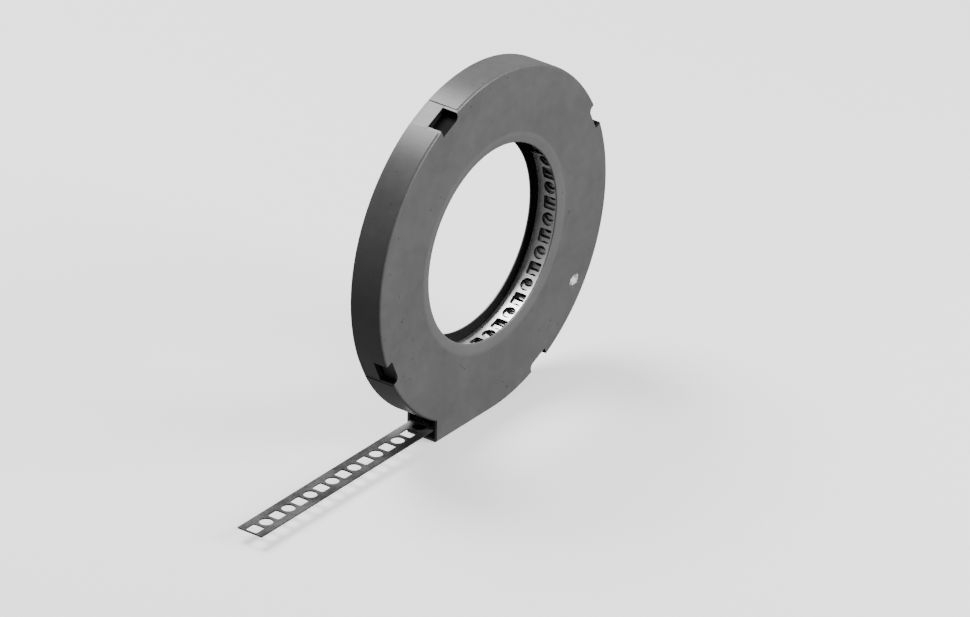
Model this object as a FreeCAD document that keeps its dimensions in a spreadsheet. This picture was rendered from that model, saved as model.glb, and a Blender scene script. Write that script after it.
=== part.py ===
import FreeCAD, Part
from enum import IntEnum
import math
import os
from types import SimpleNamespace
import Sketcher

# Perforated steel strap wound up in a flat round plastic case, with its free end pulled out of the
# mouth at the foot of the case.
# The origin is on the axis of the ring, half way through its width. The axis runs along Y, the front
# face looks along -Y, the case stands on its flat base, and the strap leaves it towards -X.

SIZES = {
    "case_radius": 105.0,
    "hole_radius": 59.0,
    "wall": 1.6,
    "side_gap": 0.4,
    "front_bevel": 1.4,
    "back_bevel": 0.7,
    "lip_reach": 6.0,
    "lip_drop": 0.8,
    "mouth_reach": 51.0,
    "cut_margin": 5.0,
    "latch_count": 4,
    "latch_start": 25.0,
    "notch_width": 15.0,
    "notch_depth": 5.5,
    "notch_round": 3.0,
    "window_reach": 9.5,
    "tongue_width": 17.8,
    "tongue_thick": 1.6,
    "tongue_recess": 0.8,
    "latch_gap": 0.3,
    "rib_thick": 1.5,
    "strap_width": 17.0,
    "strap_thick": 0.8,
    "hole_size": 8.0,
    "hole_corner": 1.0,
    "hole_step": 9.9,
    "end_margin": 5.0,
    "tail_reach": 207.0,
    "tail_lift": 7.2,
    "tail_pairs": 9,
    "coil_pairs": 21,
    "coil_gap": 0.4,
    "turn_lines": 2,
    "line_depth": 0.6,
}

doc = FreeCAD.newDocument("strap_case")
sheet = doc.addObject("Spreadsheet::Sheet", "sizes")
for row, (alias, number) in enumerate(SIZES.items(), start=1):
    sheet.set(f"A{row}", alias)
    sheet.set(f"B{row}", str(number))
    sheet.setAlias(f"B{row}", alias)
doc.recompute()


class Size:
    """A length, angle or count: its value now, and the formula on the sheet that drives it."""

    def __init__(self, value, formula):
        self.value = value
        self.formula = formula

    def join(self, sign, other, value):
        return Size(value, f"({self.formula} {sign} {formula_of(other)})")

    def __add__(self, other):
        return self.join("+", other, self.value + value_of(other))

    def __sub__(self, other):
        return self.join("-", other, self.value - value_of(other))

    def __mul__(self, other):
        return self.join("*", other, self.value * value_of(other))

    def __truediv__(self, other):
        return self.join("/", other, self.value / value_of(other))

    def __neg__(self):
        return Size(-self.value, f"(-1 * {self.formula})")


def value_of(size):
    return size.value if isinstance(size, Size) else size


def formula_of(size):
    return size.formula if isinstance(size, Size) else str(size)


def leg(hypotenuse, other_leg):
    """The third side of a right-angled triangle."""
    value = math.sqrt(hypotenuse.value ** 2 - other_leg.value ** 2)
    return Size(value, f"sqrt({hypotenuse.formula}^2 - {other_leg.formula}^2)")


S = SimpleNamespace(**{alias: Size(number, f"sizes.{alias}") for alias, number in SIZES.items()})

# Edges and planes nearer to each other than this, in millimetres, count as touching.
TOUCH = 1e-3

# What follows from the sheet's sizes. Y grows from the front face to the back.
case_width = S.strap_width + (S.side_gap + S.wall) * 2
front_y = -case_width / 2
back_y = case_width / 2
seam_y = back_y - S.wall
inner_radius = S.case_radius - S.wall
mouth_top = leg(S.case_radius, S.mouth_reach)
tongue_outer = S.case_radius - S.tongue_recess
tongue_inner = tongue_outer - S.tongue_thick
slot_width = S.tongue_width + S.latch_gap * 2
window_y = front_y + S.window_reach
coil_radius = S.case_radius - S.tail_lift
coil_bore = S.coil_pairs * S.hole_step / math.pi
rib_inner = coil_radius + S.coil_gap
pair_step = S.hole_step * 2


def origin_part(body, role):
    return next(item for item in body.Origin.OriginFeatures if item.Role == role)


def new_body(name):
    body = doc.addObject("PartDesign::Body", name)
    body.Label = name
    body.Placement = FreeCAD.Placement()
    return body


def drive(item, setting, size):
    item.setExpression(setting, formula_of(size))


def new_sketch(body, name, plane, lift=0, turn=0, turn_axis=(0, 0, 1)):
    """A sketch on an origin plane of its body, lifted along the plane's normal and turned."""
    sketch = body.newObject("Sketcher::SketchObject", name)
    sketch.AttachmentSupport = [(origin_part(body, plane), "")]
    sketch.MapMode = "FlatFace"
    if value_of(turn) != 0:
        rotation = FreeCAD.Rotation(FreeCAD.Vector(*turn_axis), value_of(turn))
        sketch.AttachmentOffset = FreeCAD.Placement(FreeCAD.Vector(0, 0, 0), rotation)
        drive(sketch, ".AttachmentOffset.Rotation.Angle", turn)
    drive(sketch, ".AttachmentOffset.Base.z", lift)
    doc.recompute()
    return sketch


def face_sketch(body, name, y, turn=0):
    """A sketch across the axis at a place along Y: its X is the part's X, and its Y is the part's Z."""
    return new_sketch(body, name, "XZ_Plane", -y, turn)


def tie(sketch, kind, *where, to):
    """A measured constraint, driven by the sheet."""
    index = sketch.addConstraint(Sketcher.Constraint(kind, *where, float(value_of(to))))
    if isinstance(to, Size):
        drive(sketch, f"Constraints[{index}]", to)


def hold(sketch, kind, *where):
    sketch.addConstraint(Sketcher.Constraint(kind, *where))


class Point(IntEnum):
    """The points of a sketch's line, arc or circle, by the numbers that constraints use."""
    START = 1
    END = 2
    CENTRE = 3


class Axis(IntEnum):
    """A sketch's own axes, by the numbers that constraints use. Both start at its origin."""
    X = -1
    Y = -2


ORIGIN = (Axis.X, Point.START)


def place(sketch, item, point, x, y):
    """Holds a point of the sketch at x, y."""
    if value_of(x) == 0:
        hold(sketch, "PointOnObject", item, point, Axis.Y)
    else:
        tie(sketch, "DistanceX", *ORIGIN, item, point, to=x)
    if value_of(y) == 0:
        hold(sketch, "PointOnObject", item, point, Axis.X)
    else:
        tie(sketch, "DistanceY", *ORIGIN, item, point, to=y)


def circle(sketch, radius, x=0, y=0):
    centre = FreeCAD.Vector(value_of(x), value_of(y), 0)
    index = sketch.addGeometry(Part.Circle(centre, FreeCAD.Vector(0, 0, 1), radius.value), False)
    place(sketch, index, Point.CENTRE, x, y)
    tie(sketch, "Radius", index, to=radius)
    return index


def polygon(sketch, corners):
    """A closed outline of straight lines, each corner held at its x and y."""
    points = [FreeCAD.Vector(value_of(x), value_of(y), 0) for x, y in corners]
    lines = []
    for first, second in zip(points, points[1:] + points[:1]):
        lines.append(sketch.addGeometry(Part.LineSegment(first, second), False))
    for first, second in zip(lines, lines[1:] + lines[:1]):
        hold(sketch, "Coincident", first, Point.END, second, Point.START)
    for line, (x, y) in zip(lines, corners):
        place(sketch, line, Point.START, x, y)


def rectangle(sketch, left, low, right, high):
    polygon(sketch, [(left, low), (right, low), (right, high), (left, high)])


def case_outline(sketch, radius, mouth_points):
    """A circle opened into a flat foot: the arc runs from the lowest point round to the mouth.

    mouth_points are the corners from the end of the arc down to the foot's outer corner."""
    angle = math.atan2(value_of(mouth_points[0][1]), value_of(mouth_points[0][0])) % (2 * math.pi)
    round_part = Part.Circle(FreeCAD.Vector(0, 0, 0), FreeCAD.Vector(0, 0, 1), radius.value)
    arc = sketch.addGeometry(Part.ArcOfCircle(round_part, -math.pi / 2, angle), False)
    hold(sketch, "Coincident", arc, Point.CENTRE, *ORIGIN)
    tie(sketch, "Radius", arc, to=radius)
    hold(sketch, "PointOnObject", arc, Point.START, Axis.Y)
    points = [FreeCAD.Vector(value_of(x), value_of(y), 0) for x, y in mouth_points]
    points.append(FreeCAD.Vector(0, -radius.value, 0))
    lines = []
    for first, second in zip(points, points[1:]):
        lines.append(sketch.addGeometry(Part.LineSegment(first, second), False))
    hold(sketch, "Coincident", arc, Point.END, lines[0], Point.START)
    for first, second in zip(lines, lines[1:]):
        hold(sketch, "Coincident", first, Point.END, second, Point.START)
    hold(sketch, "Coincident", lines[-1], Point.END, arc, Point.START)
    for index, line in enumerate(lines):
        upright = abs(points[index].x - points[index + 1].x) < abs(points[index].y - points[index + 1].y)
        hold(sketch, "Vertical" if upright else "Horizontal", line)
    tie(sketch, "DistanceX", *ORIGIN, arc, Point.END, to=mouth_points[0][0])
    return lines


def finish(body, feature):
    body.Tip = feature
    doc.recompute()
    return feature


def pad(body, sketch, name, length, reverse=False, middle=False):
    feature = body.newObject("PartDesign::Pad", name)
    feature.Profile = sketch
    drive(feature, "Length", length)
    feature.Reversed = reverse
    feature.Midplane = middle
    return finish(body, feature)


def pocket(body, sketch, name, length, reverse=False, middle=False):
    before = body.Shape.Volume
    feature = body.newObject("PartDesign::Pocket", name)
    feature.Profile = sketch
    drive(feature, "Length", length)
    feature.Reversed = reverse
    feature.Midplane = middle
    finish(body, feature)
    if body.Shape.Volume >= before:
        raise RuntimeError(f"{name} cuts nothing")
    return feature


def polar(body, feature, name, count):
    feature_ring = body.newObject("PartDesign::PolarPattern", name)
    feature_ring.Originals = [feature]
    feature_ring.Axis = (origin_part(body, "Y_Axis"), [""])
    feature_ring.Angle = 360
    drive(feature_ring, "Occurrences", count)
    return finish(body, feature_ring)


def round_edges(body, base, name, radius, wanted):
    """Rounds the edges of the last feature that the test picks."""
    names = [f"Edge{index}" for index, edge in enumerate(base.Shape.Edges, start=1) if wanted(edge)]
    feature = body.newObject("PartDesign::Fillet", name)
    feature.Base = (base, names)
    drive(feature, "Radius", radius)
    return finish(body, feature)


def bevel_edges(body, base, name, width, wanted):
    """Bevels the edges of the last feature that the test picks."""
    names = [f"Edge{index}" for index, edge in enumerate(base.Shape.Edges, start=1) if wanted(edge)]
    feature = body.newObject("PartDesign::Chamfer", name)
    feature.Base = (base, names)
    drive(feature, "Size", width)
    return finish(body, feature)


def middle_of(edge):
    return edge.valueAt((edge.FirstParameter + edge.LastParameter) / 2)


def lies_at(edge, y):
    """True for an edge that lies whole in the plane across the axis at a place along Y."""
    return all(abs(end - value_of(y)) < TOUCH for end in (edge.BoundBox.YMin, edge.BoundBox.YMax))


def on_rim(edge, y):
    """True for the outer edges of the case that run smoothly on from each other at a place along Y."""
    middle = middle_of(edge)
    outside_hole = math.hypot(middle.x, middle.z) > (S.hole_radius.value + S.case_radius.value) / 2
    return lies_at(edge, y) and outside_hole and middle.x > -S.mouth_reach.value + TOUCH


def turned_cut(body, sketch, name):
    """Cuts a sketch of the YZ plane all round the axis of the ring."""
    before = body.Shape.Volume
    feature = body.newObject("PartDesign::Groove", name)
    feature.Profile = sketch
    feature.ReferenceAxis = (sketch, ["H_Axis"])
    feature.Angle = 360
    finish(body, feature)
    if body.Shape.Volume >= before:
        raise RuntimeError(f"{name} cuts nothing")


def dish_lip(body, name, face_y, lip_y):
    """The face falls away gently towards the central hole, down to lip_y at its edge."""
    sketch = new_sketch(body, f"{name}_outline", "YZ_Plane")
    inside = S.hole_radius - S.cut_margin
    polygon(sketch, [(face_y, inside), (lip_y, inside), (lip_y, S.hole_radius),
                     (face_y, S.hole_radius + S.lip_reach)])
    turned_cut(body, sketch, name)


# Front half of the case: face ring, rim, foot and strap mouth in one moulding.
front = new_body("front_shell")
outline = face_sketch(front, "front_outline", seam_y)
mouth_corners = [(-S.mouth_reach, -mouth_top), (-S.mouth_reach, -S.case_radius)]
case_outline(outline, S.case_radius, mouth_corners)
circle(outline, S.hole_radius)
blank = pad(front, outline, "front_blank", case_width - S.wall)
bevel_edges(front, blank, "front_edge", S.front_bevel, lambda edge: on_rim(edge, front_y))
dish_lip(front, "front_lip", front_y, front_y + S.lip_drop)

cavity = face_sketch(front, "cavity_outline", seam_y)
cavity_corners = [(-S.mouth_reach, -leg(inner_radius, S.mouth_reach)),
                  (-S.mouth_reach, -mouth_top),
                  (-(S.mouth_reach + S.cut_margin), -mouth_top),
                  (-(S.mouth_reach + S.cut_margin), -inner_radius)]
cavity_lines = case_outline(cavity, inner_radius, cavity_corners)
tie(cavity, "DistanceY", *ORIGIN, cavity_lines[1], Point.START, to=-mouth_top)
tie(cavity, "DistanceX", *ORIGIN, cavity_lines[2], Point.START, to=-(S.mouth_reach + S.cut_margin))
pocket(front, cavity, "front_cavity", case_width - S.wall * 2, reverse=True)

# Two ribs and a floor behind each latch tongue. The ribs run the whole depth and steady the coil.
rib_outer = inner_radius + S.wall / 2
rib_side = slot_width / 2
ribs = face_sketch(front, "latch_ribs", seam_y, S.latch_start)
rectangle(ribs, rib_inner, rib_side, rib_outer, rib_side + S.rib_thick)
rectangle(ribs, rib_inner, -(rib_side + S.rib_thick), rib_outer, -rib_side)
rib_pad = pad(front, ribs, "latch_rib", case_width - S.wall * 2)
polar(front, rib_pad, "latch_rib_ring", S.latch_count)

floor_outer = tongue_inner - S.latch_gap
floor = face_sketch(front, "latch_floor_outline", seam_y, S.latch_start)
rectangle(floor, floor_outer - S.rib_thick, -(rib_side + S.rib_thick), floor_outer, rib_side + S.rib_thick)
floor_pad = pad(front, floor, "latch_floor", seam_y - window_y)
polar(front, floor_pad, "latch_floor_ring", S.latch_count)

# The slot that each tongue slides into, and the window in front of it for pressing the latch.
slot = face_sketch(front, "latch_slot_outline", seam_y, S.latch_start)
rectangle(slot, floor_outer, -rib_side, S.case_radius + S.cut_margin, rib_side)
slot_cut = pocket(front, slot, "latch_slot", seam_y - window_y, reverse=True)
polar(front, slot_cut, "latch_slot_ring", S.latch_count)


def notch_outline(sketch, side):
    """A rectangle open to the outside, with its inner corner on one side (1 or -1) rounded."""
    inner = S.case_radius - S.notch_depth
    outer = S.case_radius + S.cut_margin
    edge = S.notch_width * side / 2
    reach = S.notch_round.value
    x0, x1, y1 = inner.value, outer.value, edge.value
    points = [(x0 + reach, y1), (x1, y1), (x1, -y1), (x0, -y1), (x0, y1 - side * reach)]
    corners = [FreeCAD.Vector(x, y, 0) for x, y in points]
    lines = [sketch.addGeometry(Part.LineSegment(first, second), False)
             for first, second in zip(corners, corners[1:])]
    centre = FreeCAD.Vector(x0 + reach, y1 - side * reach, 0)
    bend = Part.Circle(centre, FreeCAD.Vector(0, 0, 1), reach)
    start, end = (math.pi / 2, math.pi) if side > 0 else (math.pi, 3 * math.pi / 2)
    arc = sketch.addGeometry(Part.ArcOfCircle(bend, start, end), False)
    for first, second in zip(lines, lines[1:]):
        hold(sketch, "Coincident", first, Point.END, second, Point.START)
    for index, line in enumerate(lines):
        hold(sketch, "Horizontal" if index % 2 == 0 else "Vertical", line)
    hold(sketch, "Tangent", lines[0], Point.START, arc, Point.START if side > 0 else Point.END)
    hold(sketch, "Tangent", lines[-1], Point.END, arc, Point.END if side > 0 else Point.START)
    place(sketch, lines[0], Point.END, outer, edge)
    place(sketch, lines[2], Point.END, inner, -edge)
    tie(sketch, "Radius", arc, to=S.notch_round)


# The notches of neighbouring latches mirror each other.
for side, start in ((1, S.latch_start), (-1, S.latch_start + Size(360.0, "360") / S.latch_count)):
    hand = "left" if side > 0 else "right"
    window = face_sketch(front, f"{hand}_window_outline", window_y, start)
    notch_outline(window, side)
    window_cut = pocket(front, window, f"{hand}_window", S.window_reach + S.cut_margin, reverse=True)
    polar(front, window_cut, f"{hand}_window_ring", S.latch_count / 2)


def cut_lands(body, y, depth):
    """The shallow flat across the rim at each latch."""
    land = face_sketch(body, "latch_land_outline", y, S.latch_start)
    rectangle(land, tongue_outer, -rib_side, S.case_radius + S.cut_margin, rib_side)
    land_cut = pocket(body, land, "latch_land", depth, reverse=True)
    polar(body, land_cut, "latch_land_ring", S.latch_count)


cut_lands(front, seam_y, case_width)

# Back half of the case: a face ring with the same outline and four flat latch tongues.
back = new_body("back_shell")
back_outline = face_sketch(back, "back_outline", back_y)
case_outline(back_outline, S.case_radius, mouth_corners)
circle(back_outline, S.hole_radius)
back_blank = pad(back, back_outline, "back_blank", S.wall)
bevel_edges(back, back_blank, "back_edge", S.back_bevel, lambda edge: on_rim(edge, back_y))
dish_lip(back, "back_lip", back_y, back_y - S.lip_drop)
cut_lands(back, back_y, S.wall)
tongue = face_sketch(back, "tongue_outline", seam_y, S.latch_start)
rectangle(tongue, tongue_inner, -S.tongue_width / 2, tongue_outer, S.tongue_width / 2)
tongue_pad = pad(back, tongue, "tongue", seam_y - window_y - S.latch_gap)
polar(back, tongue_pad, "tongue_ring", S.latch_count)

# The strap: a tightly wound coil with its bore, and the free end that leaves it as a tangent.
half_hole = S.hole_size / 2
strap = new_body("perforated_strap")
coil = face_sketch(strap, "coil_outline", 0)
circle(coil, coil_radius)
circle(coil, coil_bore)
pad(strap, coil, "coil", S.strap_width, middle=True)
tail = face_sketch(strap, "tail_outline", 0)
rectangle(tail, -S.tail_reach, -coil_radius, 0, -(coil_radius - S.strap_thick))
pad(strap, tail, "tail", S.strap_width, middle=True)

first_square = -(S.tail_reach - S.end_margin)
under_tail = -(coil_radius + S.cut_margin)
squares = new_sketch(strap, "square_outline", "XY_Plane", under_tail)
rectangle(squares, first_square - half_hole, -half_hole, first_square + half_hole, half_hole)
square_cut = pocket(strap, squares, "square_hole", S.cut_margin * 2, reverse=True)
rounds = new_sketch(strap, "round_outline", "XY_Plane", under_tail)
circle(rounds, half_hole, first_square + S.hole_step)
round_cut = pocket(strap, rounds, "round_hole", S.cut_margin * 2, reverse=True)
row = strap.newObject("PartDesign::LinearPattern", "tail_holes")
row.Originals = [square_cut, round_cut]
row.Direction = (origin_part(strap, "X_Axis"), [""])
drive(row, "Length", pair_step * (S.tail_pairs - 1))
drive(row, "Occurrences", S.tail_pairs)
finish(strap, row)


def square_corner(edge):
    """True for the upright edges inside the free end's square holes."""
    upright = edge.BoundBox.XLength < TOUCH and edge.BoundBox.YLength < TOUCH
    return upright and abs(abs(middle_of(edge).y) - half_hole.value) < TOUCH


round_edges(strap, row, "square_corners", S.hole_corner, square_corner)

# The innermost turn shows its square and round holes in turn, all round the bore.
bore_cut = coil_bore + S.strap_thick
bore_square = new_sketch(strap, "bore_square_outline", "YZ_Plane")
rectangle(bore_square, -half_hole, -half_hole, half_hole, half_hole)
bore_square_cut = pocket(strap, bore_square, "bore_square", bore_cut, reverse=True)
polar(strap, bore_square_cut, "bore_square_ring", S.coil_pairs)
half_pair = Size(180.0, "180") / S.coil_pairs
bore_round = new_sketch(strap, "bore_round_outline", "YZ_Plane", turn=half_pair, turn_axis=(1, 0, 0))
circle(bore_round, half_hole)
bore_round_cut = pocket(strap, bore_round, "bore_round", bore_cut, reverse=True)
polar(strap, bore_round_cut, "bore_round_ring", S.coil_pairs)

# Fine lines between turns, on both ends of the coil.
turn_pitch = (coil_radius - coil_bore) / (S.turn_lines + 1)
turns = new_sketch(strap, "turn_line_outline", "YZ_Plane")
for number in range(1, int(S.turn_lines.value) + 1):
    inner = coil_bore + turn_pitch * number
    middle = inner + S.strap_thick / 2
    outer = inner + S.strap_thick
    for end_y, deep_y in ((-S.strap_width / 2, -S.strap_width / 2 + S.line_depth),
                          (S.strap_width / 2, S.strap_width / 2 - S.line_depth)):
        polygon(turns, [(end_y, inner), (deep_y, middle), (end_y, outer)])
turned_cut(strap, turns, "turn_lines")

for item in doc.Objects:
    if "Invalid" in item.State or "Error" in item.State:
        raise RuntimeError(f"{item.Name} did not build: {item.State}")

os.makedirs("parts", exist_ok=True)
for body in (front, back, strap):
    shape = body.Shape
    if shape.isNull() or not shape.isValid() or len(shape.Solids) != 1:
        raise RuntimeError(f"{body.Label} is not one sound solid")
    shape.exportStep(f"parts/{body.Label}.step")
    print(body.Label, round(shape.Volume, 1), shape.BoundBox)
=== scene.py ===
import math

import bpy
from mathutils import Matrix, Vector


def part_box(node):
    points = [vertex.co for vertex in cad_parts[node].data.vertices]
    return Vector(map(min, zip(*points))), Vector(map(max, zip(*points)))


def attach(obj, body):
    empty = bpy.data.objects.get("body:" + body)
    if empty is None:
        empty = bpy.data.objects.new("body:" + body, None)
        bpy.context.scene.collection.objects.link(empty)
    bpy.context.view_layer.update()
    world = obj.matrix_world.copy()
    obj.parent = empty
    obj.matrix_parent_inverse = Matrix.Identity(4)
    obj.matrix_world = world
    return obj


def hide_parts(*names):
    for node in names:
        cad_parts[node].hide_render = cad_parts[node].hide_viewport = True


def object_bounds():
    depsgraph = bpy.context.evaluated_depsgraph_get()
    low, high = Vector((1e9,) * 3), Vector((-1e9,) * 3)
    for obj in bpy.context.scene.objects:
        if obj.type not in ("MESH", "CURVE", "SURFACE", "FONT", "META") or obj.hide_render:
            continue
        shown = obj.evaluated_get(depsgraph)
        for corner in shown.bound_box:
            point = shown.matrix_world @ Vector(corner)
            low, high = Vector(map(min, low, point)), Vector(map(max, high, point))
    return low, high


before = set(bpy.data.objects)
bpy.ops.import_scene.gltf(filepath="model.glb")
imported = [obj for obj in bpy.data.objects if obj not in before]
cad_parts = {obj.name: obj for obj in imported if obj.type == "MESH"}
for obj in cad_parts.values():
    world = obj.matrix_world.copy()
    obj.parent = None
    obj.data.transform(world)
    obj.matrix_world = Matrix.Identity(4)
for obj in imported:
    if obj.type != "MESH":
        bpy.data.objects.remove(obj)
cad_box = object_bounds()

# Front half of the case: one moulding in grey plastic, with the face ring, the outer rim, the flat foot
# and the mouth. It comes off the mould with a round front edge and lip and a fine satin grain. Round the
# hole it is painted paler: a painted highlight for the light that falls on the sloping lip.


class Wire:
    """A socket that adds the node for each sum, product or comparison that it is put in."""

    def __init__(self, tree, socket):
        self.tree = tree
        self.socket = socket

    def node(self, kind, settings=None, **inputs):
        made = self.tree.nodes.new(kind)
        for setting, value in (settings or {}).items():
            setattr(made, setting, value)
        for name, value in inputs.items():
            key = int(name[1:]) if name[0] == "_" else name.replace("_", " ")
            plug = made.inputs[key]
            if isinstance(value, Wire):
                self.tree.links.new(value.socket, plug)
            else:
                plug.default_value = value
        return made

    def out(self, made, name=0):
        return Wire(self.tree, made.outputs[name])

    def maths(self, operation, *values):
        plugs = {f"_{index}": value for index, value in enumerate(values)}
        return self.out(self.node("ShaderNodeMath", {"operation": operation}, **plugs))

    def __add__(self, other):
        return self.maths("ADD", self, other)

    def __radd__(self, other):
        return self.maths("ADD", other, self)

    def __sub__(self, other):
        return self.maths("SUBTRACT", self, other)

    def __rsub__(self, other):
        return self.maths("SUBTRACT", other, self)

    def __mul__(self, other):
        return self.maths("MULTIPLY", self, other)

    def __rmul__(self, other):
        return self.maths("MULTIPLY", other, self)

    def rise(self, low, high):
        """0 below low, 1 above high and smooth in between."""
        settings = {"interpolation_type": "SMOOTHSTEP"}
        return self.out(self.node("ShaderNodeMapRange", settings, Value=self, From_Min=low, From_Max=high))

    def noise(self, scale, detail=3.0, roughness=0.5):
        made = self.node("ShaderNodeTexNoise", Vector=self, Scale=scale, Detail=detail, Roughness=roughness)
        return self.out(made, "Fac")

    def blend(self, first, second):
        """A colour between the two, by this wire's value."""
        made = self.node("ShaderNodeMix", {"data_type": "RGBA"}, _0=self, _6=first, _7=second)
        return self.out(made, 2)

    def away_from(self, spot):
        """How far each point is from a spot."""
        made = self.node("ShaderNodeVectorMath", {"operation": "DISTANCE"}, _0=self, _1=spot)
        return self.out(made, "Value")

    def flattened(self):
        """The place with its part along the case's axis taken out."""
        made = self.node("ShaderNodeVectorMath", {"operation": "MULTIPLY"}, _0=self, _1=(1, 0, 1))
        return self.out(made)

    def bump(self, height, depth):
        """A normal from this height, in metres."""
        made = self.node("ShaderNodeBump", Height=height, Distance=depth, Strength=1.0)
        return self.out(made)


def new_finish(name):
    """A material with its shader, and a wire with each point's place on the object."""
    finish = bpy.data.materials.new(name)
    finish.use_nodes = True
    tree = finish.node_tree
    shader = next(node for node in tree.nodes if node.type == "BSDF_PRINCIPLED")
    place = tree.nodes.new("ShaderNodeTexCoord")
    return finish, shader, Wire(tree, place.outputs["Object"])


def feed(shader, name, wire):
    wire.tree.links.new(wire.socket, shader.inputs[name])


def grey(level):
    return (level, level, level, 1.0)


front_low, front_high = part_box("front_shell")
case_radius = front_high.x
front_y, seam_y, back_y = front_low.y, front_high.y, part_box("back_shell")[1].y
hole_radius = 0.059
lip_reach = 0.006

case_plastic, shader, place = new_finish("case_plastic")
clouds = place.noise(26.0, detail=4.0, roughness=0.6)
mottle = place.noise(160.0, detail=2.0)
specks = place.noise(420.0, detail=1.0).rise(0.75, 0.79)
tone = (clouds - 0.5) * 0.5 + (mottle - 0.5) * 0.25 + 0.5
shade = tone.rise(0.2, 0.8).blend(grey(0.075), grey(0.115))
# The lip round the hole is painted paler: a painted highlight for the light falling on its slope.
lip_end = hole_radius + lip_reach
lip_painted_light = 1.0 - place.flattened().away_from((0, 0, 0)).rise(lip_end - 0.0005, lip_end + 0.0015)
# A small pale spot with a ragged edge on the face, right of the hole.
pale_spot_middle, pale_spot_reach = (0.0756, front_y, -0.0544), 0.0042
ragged = place.away_from(pale_spot_middle) + (place.noise(500.0) - 0.5) * 0.009
pale_spot = 1.0 - ragged.rise(pale_spot_reach * 0.2, pale_spot_reach)
base_with_lit_lip = (lip_painted_light * 0.35).blend(specks.blend(shade, grey(0.04)), grey(0.16))
feed(shader, "Base Color", pale_spot.blend(base_with_lit_lip, grey(0.8)))
feed(shader, "Roughness", 0.31 + 0.10 * clouds + 0.05 * mottle)
grain = place.noise(2600.0, detail=1.0)
grain_depth = 0.00006
feed(shader, "Normal", place.bump(grain * 0.4 + mottle * 0.6, grain_depth))

# Inside faces: near-black and dull, painted shade for the deep shadow inside the case; the plastic there is
# the same grey.
inside_painted_shade, shader, place = new_finish("inside_painted_shade")
feed(shader, "Base Color", place.noise(90.0).blend(grey(0.006), grey(0.014)))
shader.inputs["Roughness"].default_value = 0.85
shader.inputs["Specular IOR Level"].default_value = 0.12


def clear_selection():
    bpy.ops.object.select_all(action="DESELECT")


def take(piece):
    """Makes the piece the only selected and active one."""
    clear_selection()
    piece.select_set(True)
    bpy.context.view_layer.objects.active = piece


ring_steps = 240


def turned_ring(name, section):
    """A ring about the case's axis, from the radius and the place along Y of its section's corners."""
    clear_selection()
    bpy.ops.mesh.primitive_circle_add(vertices=len(section), radius=1.0)
    piece = bpy.context.active_object
    piece.name = name
    for vertex, (radius, y) in zip(piece.data.vertices, section):
        vertex.co = (radius, y, 0)
    bpy.ops.object.mode_set(mode="EDIT")
    bpy.ops.mesh.select_all(action="SELECT")
    bpy.ops.mesh.spin(steps=ring_steps, angle=2 * math.pi, center=(0, 0, 0), axis=(0, 1, 0))
    bpy.ops.mesh.select_all(action="SELECT")
    bpy.ops.mesh.remove_doubles(threshold=1e-6)
    bpy.ops.mesh.normals_make_consistent(inside=False)
    bpy.ops.object.mode_set(mode="OBJECT")
    return piece


def block(low, high):
    """A box between two corners."""
    clear_selection()
    bpy.ops.mesh.primitive_cube_add(size=1.0, location=[(a + b) / 2 for a, b in zip(low, high)])
    bpy.ops.transform.resize(value=[b - a for a, b in zip(low, high)])
    bpy.ops.object.transform_apply(location=True, rotation=True, scale=True)
    return bpy.context.active_object


def turned_to(piece, angle):
    """Turns a piece made at the right-hand side round the axis of the case."""
    take(piece)
    piece.rotation_euler = (0, -angle, 0)
    bpy.ops.object.transform_apply(location=True, rotation=True, scale=True)
    return piece


def joined(pieces):
    clear_selection()
    for piece in pieces:
        piece.select_set(True)
    bpy.context.view_layer.objects.active = pieces[0]
    bpy.ops.object.join()
    return bpy.context.active_object


def carve(piece, tool, operation="DIFFERENCE"):
    """Cuts the tool out of the piece, or adds it on, and clears the tool away."""
    cut = piece.modifiers.new("carve", "BOOLEAN")
    cut.object = tool
    cut.operation = operation
    cut.solver = "EXACT"
    take(piece)
    bpy.ops.object.modifier_apply(modifier=cut.name)
    bpy.data.objects.remove(tool)
    bpy.ops.object.mode_set(mode="EDIT")
    bpy.ops.mesh.select_all(action="SELECT")
    bpy.ops.mesh.remove_doubles(threshold=2e-6)
    bpy.ops.mesh.quads_convert_to_tris()
    bpy.ops.object.mode_set(mode="OBJECT")


latch_angles = [math.radians(degrees) for degrees in (25, 115, 205, 295)]


def at_latches(low, high):
    """The same block at each of the four latches."""
    return joined([turned_to(block(low, high), angle) for angle in latch_angles])


def rounded(piece, chosen, size, segments):
    """Rounds the edges whose two ends both pass the test."""
    take(piece)
    bpy.ops.object.mode_set(mode="EDIT")
    bpy.ops.mesh.select_all(action="DESELECT")
    bpy.ops.object.mode_set(mode="OBJECT")
    for edge in piece.data.edges:
        edge.select = all(chosen(piece.data.vertices[index].co) for index in edge.vertices)
    bpy.ops.object.mode_set(mode="EDIT")
    bpy.ops.mesh.select_mode(type="EDGE")
    bpy.ops.mesh.bevel(offset=size, segments=segments)
    bpy.ops.mesh.select_mode(type="VERT")
    bpy.ops.object.mode_set(mode="OBJECT")
    return piece


touch, skin, clear = 0.00001, 0.0001, 0.003
beyond = case_radius + 0.005
window_reach = 0.0095
window_y = front_y + window_reach
notch_deep, notch_half, notch_round = 0.0055, 0.0075, 0.003
notch_floor = case_radius - notch_deep


def notch(angle, side):
    """The window at a latch, with its inner corner rounded on one side. It ends a hair past window_y."""
    tool = block((notch_floor, front_y - clear, -notch_half), (beyond, window_y + 3 * touch, notch_half))
    rounded(tool, lambda end: end.x < notch_floor + touch and end.z * side > 0, notch_round, 6)
    return turned_to(tool, angle)


flat_within, smooth_within, sharp_from = math.radians(0.3), math.radians(35), math.radians(40)
softened = 0.0002
speck = 5e-6


def ends_of(piece, face):
    return [piece.data.vertices[index].co for index in face.vertices]


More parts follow.
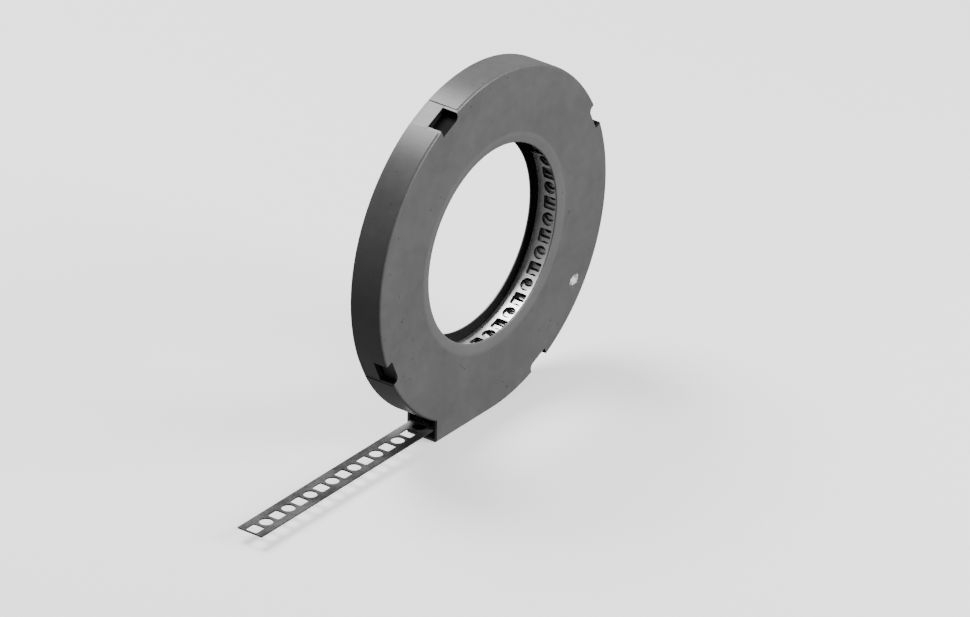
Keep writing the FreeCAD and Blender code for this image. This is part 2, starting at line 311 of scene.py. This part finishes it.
def soften(piece):
    """Breaks the moulded corners as far as the mesh lets it, and shades the rim as a true round."""
    take(piece)
    bpy.ops.object.mode_set(mode="EDIT")
    bpy.ops.mesh.select_all(action="SELECT")
    bpy.ops.mesh.dissolve_limited(angle_limit=flat_within)
    bpy.ops.object.mode_set(mode="OBJECT")
    edge = piece.modifiers.new("edge", "BEVEL")
    edge.width = softened
    edge.segments = 2
    edge.limit_method = "ANGLE"
    edge.angle_limit = sharp_from
    edge.use_clamp_overlap = True
    bpy.ops.object.modifier_apply(modifier=edge.name)
    bpy.ops.object.mode_set(mode="EDIT")
    bpy.ops.mesh.select_all(action="SELECT")
    bpy.ops.mesh.dissolve_degenerate(threshold=speck)
    bpy.ops.object.mode_set(mode="OBJECT")
    bpy.ops.object.shade_smooth_by_angle(angle=smooth_within)
    flats = piece.modifiers.new("flats", "WEIGHTED_NORMAL")
    flats.keep_sharp = True
    bpy.ops.object.modifier_apply(modifier=flats.name)
    normals = [corner.vector.copy() for corner in piece.data.corner_normals]
    for face in piece.data.polygons:
        ends = ends_of(piece, face)
        if all(abs(math.hypot(end.x, end.z) - case_radius) < touch for end in ends):
            for corner, end in zip(face.loop_indices, ends):
                normals[corner] = Vector((end.x, 0, end.z)).normalized()
    piece.data.normals_split_custom_set(normals)


wall = back_y - seam_y
mouth_x = -0.051
foot_top, foot_end = 0.088, 0.0004
lip_drop, lip_round, edge_round = 0.0008, 0.0009, 0.0016
land_drop = 0.0008
land_radius = case_radius - land_drop


def coat(piece):
    """Gives the piece its plastic, and a near-black one, painted shade, wherever a face looks into the
    case.
    """
    piece.data.materials.append(case_plastic)
    piece.data.materials.append(inside_painted_shade)
    inside_from, inside_to = hole_radius + lip_round + 2 * skin, land_radius - 4 * skin
    for face in piece.data.polygons:
        ends = ends_of(piece, face)
        in_foot = all(end.x < foot_end and end.z < -foot_top for end in ends)
        far = sum(-end.z if in_foot else math.hypot(end.x, end.z) for end in ends) / len(ends)
        at_front = face.normal.y < -0.5 and face.center.y < front_y + wall * 0.9
        at_back = face.normal.y > 0.5 and face.center.y > seam_y + skin
        at_mouth = face.normal.x < -0.9 and face.center.x < mouth_x + 3 * skin
        if inside_from < far < inside_to and not (at_front or at_back or at_mouth):
            # Faces that look into the case take the painted shade.
            face.material_index = 1


def quarter_round(radius, y, size, start, steps=4):
    """A quarter circle of the section about a centre, from a direction in degrees."""
    turns = [math.radians(start + 90 * number / steps) for number in range(steps + 1)]
    return [(radius + size * math.cos(turned), y + size * math.sin(turned)) for turned in turns]


margin = 0.0008
lip_slope = [(0.0025, 0.55), (0.0045, 0.15), (lip_reach, 0), (lip_reach + margin, 0)]
section = quarter_round(hole_radius + lip_round, front_y + lip_drop + lip_round, lip_round, 180)
section += [(hole_radius + reach, front_y + lip_drop * share) for reach, share in lip_slope]
section.append((case_radius - edge_round - margin, front_y))
section += quarter_round(case_radius - edge_round, front_y + edge_round, edge_round, 270)
inner_radius = case_radius - wall
section += [(case_radius, seam_y), (inner_radius, seam_y), (inner_radius, front_y + wall),
            (hole_radius, front_y + wall)]
front_case = turned_ring("front_case", section)
foot = block((mouth_x, front_y, -case_radius), (foot_end, seam_y, -foot_top))
foot = rounded(foot, lambda end: end.y < front_y + touch and end.z < touch - case_radius, edge_round, 4)
carve(front_case, foot, "UNION")
mouth_top = -math.sqrt(case_radius ** 2 - mouth_x ** 2)
foot_room = block((mouth_x, front_y + wall, -inner_radius), (foot_end, seam_y + clear, -foot_top + touch))
carve(front_case, foot_room)
carve(front_case, block((mouth_x - clear, front_y + wall, -inner_radius),
                        (mouth_x + clear, seam_y + clear, mouth_top)))
slot_half, land_half = 0.0092, 0.00925
rib_thick, rib_from, shelf_from = 0.0015, 0.0982, 0.0984
tongue_room = 0.0019
floor_radius = land_radius - tongue_room
pocket_half = slot_half + rib_thick / 2
ribs = [at_latches((rib_from, front_y + wall / 2, low), (land_radius - skin, seam_y, low + rib_thick))
        for low in (slot_half, -slot_half - rib_thick)]
carve(front_case, joined(ribs), "UNION")
carve(front_case, at_latches((floor_radius - rib_thick, window_y, -pocket_half),
                             (floor_radius, seam_y, pocket_half)), "UNION")
carve(front_case, at_latches((shelf_from, front_y + wall / 2, -pocket_half),
                             (notch_floor - 2 * skin, window_y + 4 * skin, pocket_half)), "UNION")
carve(front_case, at_latches((floor_radius, window_y, -slot_half), (beyond, seam_y + clear, slot_half)))
carve(front_case, joined([notch(angle, side) for angle, side in zip(latch_angles, (1, -1, 1, -1))]))
carve(front_case, at_latches((land_radius, front_y - clear, -land_half),
                             (beyond, seam_y + clear, land_half)))
soften(front_case)
coat(front_case)
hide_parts("front_shell")
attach(front_case, "root")

# Back half of the case: one moulding in the same plastic, a flat ring with a foot and four tongues. The
# tongues slide into the front half's pockets, fill the back of its windows and snap the halves together.
back_bevel = 0.0007
back_case = turned_ring("back_case", [
    (hole_radius, back_y - lip_drop), (hole_radius + lip_reach, back_y),
    (hole_radius + lip_reach + margin, back_y), (case_radius - back_bevel - margin, back_y),
    (case_radius - back_bevel, back_y),
    (case_radius, back_y - back_bevel), (case_radius, seam_y), (hole_radius, seam_y)])
back_foot = block((mouth_x, seam_y, -case_radius), (foot_end, back_y, -foot_top))
carve(back_case, rounded(back_foot, lambda end: end.y > back_y - touch and end.z < touch - case_radius,
                         back_bevel, 1), "UNION")
tongue_half, tongue_thick = 0.0089, 0.0016
tongue_drop, tongue_gap = 0.00005, 0.0003
carve(back_case, at_latches((land_radius, seam_y - clear, -land_half), (beyond, back_y + clear, land_half)))
carve(back_case, at_latches((land_radius - tongue_thick, window_y + tongue_gap, -tongue_half),
                            (land_radius - tongue_drop, seam_y + wall / 2, tongue_half)), "UNION")
soften(back_case)
coat(back_case)
for vertex in back_case.data.vertices:
    vertex.co.y = min(vertex.co.y, back_y)
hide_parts("back_shell")
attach(back_case, "root")

# The strap: one galvanised steel strip with square and round holes in turn, punched flat, wound up like
# a tape inside the case and pulled out through the mouth. Its turns lie loose on each other. Its free end
# is painted dark: painted shade, for the dark surroundings that its steel mirrors.
strap_low, strap_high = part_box("perforated_strap")
strip_width, strip_thick = strap_high.y - strap_low.y, 0.0008
coil_outer = strap_high.x - strip_thick / 2
tip = (strap_low.x, 0, -coil_outer)

strap_steel, shader, place = new_finish("strap_steel")
shader.inputs["Metallic"].default_value = 1.0
patches = place.noise(60.0, detail=4.0, roughness=0.6)
fine = place.noise(700.0, detail=2.0)
spangle = (patches * 0.7 + fine * 0.3).rise(0.3, 0.7)
# The free end's steel is painted dark, painted shade for the dark it mirrors; the rest keeps the steel's
# own bright grey.
tail_painted_shade = spangle.blend(grey(0.05), grey(0.17))
bright = spangle.blend(grey(0.72), grey(0.95))
past_shaded_tail = place.away_from(tip).rise(0.13, 0.17)
feed(shader, "Base Color", past_shaded_tail.blend(tail_painted_shade, bright))
feed(shader, "Roughness", 0.36 + 0.14 * patches + 0.06 * fine)
feed(shader, "Normal", place.bump(fine, 0.00001))

# The strip's punched edges and hole walls: near-black, painted shade for the dark outlines round the holes.
punched_edge, shader, place = new_finish("punched_edge")
feed(shader, "Base Color", place.noise(500.0).blend(grey(0.02), grey(0.06)))
shader.inputs["Metallic"].default_value = 0.6
shader.inputs["Roughness"].default_value = 0.6

hole_reach, hole_step = 0.004, 0.0099
half_step = hole_step / 2
points_round = 24


def round_hole(angle):
    return hole_reach * math.cos(angle), hole_reach * math.sin(angle)


def square_hole(angle):
    """A square hole with small round corners, a quarter at a time."""
    quarter, step = divmod(round(angle / (2 * math.pi) * points_round), points_round // 4)
    x, y = [(1, 0), (1, 0.375), (1, 0.75), (0.927, 0.927), (0.75, 1), (0.375, 1)][step]
    for _ in range(quarter % 4):
        x, y = -y, x
    return hole_reach * x, hole_reach * y


def half_cell(name, middle, outline):
    """Half a repeat of the strip: the metal round one hole, flat, with its outer border square.

    It starts as two rings, of radius 1 and 2, that are moved to the hole's edge and the border.
    """
    clear_selection()
    bpy.ops.mesh.primitive_circle_add(vertices=points_round, radius=1.0)
    cell = bpy.context.active_object
    cell.name = name
    bpy.ops.object.mode_set(mode="EDIT")
    bpy.ops.mesh.select_all(action="SELECT")
    bpy.ops.mesh.extrude_edges_move()
    bpy.ops.transform.resize(value=(2, 2, 2))
    bpy.ops.object.mode_set(mode="OBJECT")
    for vertex in cell.data.vertices:
        angle = math.atan2(vertex.co.y, vertex.co.x)
        if vertex.co.length < 1.5:
            x, y = outline(angle)
            vertex.co = (middle + x, y, 0)
        else:
            turn = (angle / (math.pi / 2) + 4.5) % 4
            side, along = int(turn), turn % 1 * 2 - 1
            spot = [(1, along), (-along, 1), (-1, -along), (along, -1)][side]
            vertex.co = (middle + spot[0] * half_step, spot[1] * strip_width / 2, 0)
    return cell


square_part = half_cell("square_part", half_step, square_hole)
strip = joined([half_cell("strap", half_step * 3, round_hole), square_part])
bpy.ops.object.mode_set(mode="EDIT")
bpy.ops.mesh.select_all(action="SELECT")
bpy.ops.mesh.remove_doubles(threshold=1e-6)
bpy.ops.mesh.normals_make_consistent(inside=False)
bpy.ops.object.mode_set(mode="OBJECT")

coil_inner, coil_turns = 0.0655, 19.36
tail_length = -strap_low.x
coil_length = math.pi * coil_turns * (coil_outer + coil_inner)
repeat_length = hole_step * 2
strip.data.materials.append(strap_steel)
strip.data.materials.append(punched_edge)
row = strip.modifiers.new("row", "ARRAY")
row.use_relative_offset = False
row.use_constant_offset = True
row.constant_offset_displace = (repeat_length, 0, 0)
row.count = int((tail_length + coil_length) / repeat_length)
row.use_merge_vertices = True
row.merge_threshold = 1e-6
bpy.ops.object.modifier_apply(modifier=row.name)
sheet = strip.modifiers.new("sheet", "SOLIDIFY")
sheet.thickness = strip_thick
sheet.offset = 0
sheet.material_offset_rim = 1
bpy.ops.object.modifier_apply(modifier=sheet.name)

curl_turn, curl_in = 0.05, 0.0045
tail_points, turn_points, spare_points = 31, 96, 8
route = []
for step in range(tail_points):
    route.append((strap_low.x * (1 - step / tail_points), -coil_outer))
for step in range(round(coil_turns * turn_points) + spare_points):
    turned = step / turn_points
    curled = max(0.0, turned - coil_turns + curl_turn) / curl_turn
    radius = coil_outer - (coil_outer - coil_inner) * turned / coil_turns - curl_in * curled ** 2
    angle = -math.pi / 2 + turned * 2 * math.pi
    route.append((radius * math.cos(angle), radius * math.sin(angle)))
travelled = [0.0]
for (x0, z0), (x1, z1) in zip(route, route[1:]):
    travelled.append(travelled[-1] + math.hypot(x1 - x0, z1 - z0))
leg, last_leg = 0, len(route) - 2
for vertex in sorted(strip.data.vertices, key=lambda vertex: vertex.co.x):
    along, across, up = vertex.co
    while leg < last_leg and travelled[leg + 1] < along:
        leg += 1
    part = (along - travelled[leg]) / (travelled[leg + 1] - travelled[leg])
    (x0, z0), (x1, z1) = route[leg], route[leg + 1]
    x, z = x0 + (x1 - x0) * part, z0 + (z1 - z0) * part
    before = route[max(leg - 1, 0)]
    after = route[min(leg + 2, last_leg + 1)]
    first = Vector((x1 - before[0], z1 - before[1])).normalized()
    second = Vector((after[0] - x0, after[1] - z0)).normalized()
    heading = first.lerp(second, part).normalized()
    vertex.co = (x - heading.y * up, across, z + heading.x * up)
take(strip)
bpy.ops.object.mode_set(mode="EDIT")
bpy.ops.mesh.select_all(action="SELECT")
bpy.ops.mesh.normals_make_consistent(inside=False)
bpy.ops.object.mode_set(mode="OBJECT")
bpy.ops.object.shade_smooth_by_angle(angle=math.radians(30))

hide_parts("perforated_strap")
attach(strip, "root")

# Studio: a pale table that shines a little by itself but casts no light on the part and isn't mirrored
# in it, one soft light above and behind, and one in front to the right.
table_size = 14
clear_selection()
bpy.ops.mesh.primitive_plane_add(size=table_size, location=(0, 0, cad_box[0].z))
table = bpy.context.active_object
table.name = "table"
table_top, shader, _ = new_finish("table_top")
shader.inputs["Roughness"].default_value = 0.6
shader.inputs["Base Color"].default_value = grey(0.8)
shader.inputs["Emission Color"].default_value = grey(1.0)
shader.inputs["Emission Strength"].default_value = 0.8
table.data.materials.append(table_top)
table.visible_diffuse = False
table.visible_glossy = False

world = bpy.data.worlds.new("studio")
bpy.context.scene.world = world
world.use_nodes = True
world.node_tree.nodes["Background"].inputs["Color"].default_value = grey(1.0)
world.node_tree.nodes["Background"].inputs["Strength"].default_value = 0.22


def soft_light(name, direction, distance, size, power):
    clear_selection()
    spot = Vector(direction).normalized() * distance
    bpy.ops.object.light_add(type="AREA", location=spot)
    light = bpy.context.active_object
    light.name = name
    light.rotation_euler = spot.to_track_quat("Z", "Y").to_euler()
    light.data.shape = "SQUARE"
    light.data.size = size
    light.data.energy = power


soft_light("back_light", (0.06, 0.52, 0.85), 1.6, 0.8, 40.0)
soft_light("front_light", (0.34, -0.85, 0.40), 1.8, 1.0, 55.0)

# The camera stands off to the left and above, as a long lens sees the case.
azimuth, elevation, roll = (math.radians(degrees) for degrees in (-53.26, 28.34, 0.98))
aim, distance, far_clip = Vector((-0.01271, -0.01397, -0.03438)), 6.416, 30
back = Vector((math.sin(azimuth) * math.cos(elevation), -math.cos(azimuth) * math.cos(elevation),
               math.sin(elevation)))
bpy.ops.object.camera_add(location=aim + back * distance)
camera = bpy.context.active_object
turn = back.to_track_quat("Z", "Y").to_matrix() @ Matrix.Rotation(roll, 3, "Z")
camera.rotation_euler = turn.to_euler()
camera.data.lens = 426.07
camera.data.clip_end = far_clip
bpy.context.scene.camera = camera
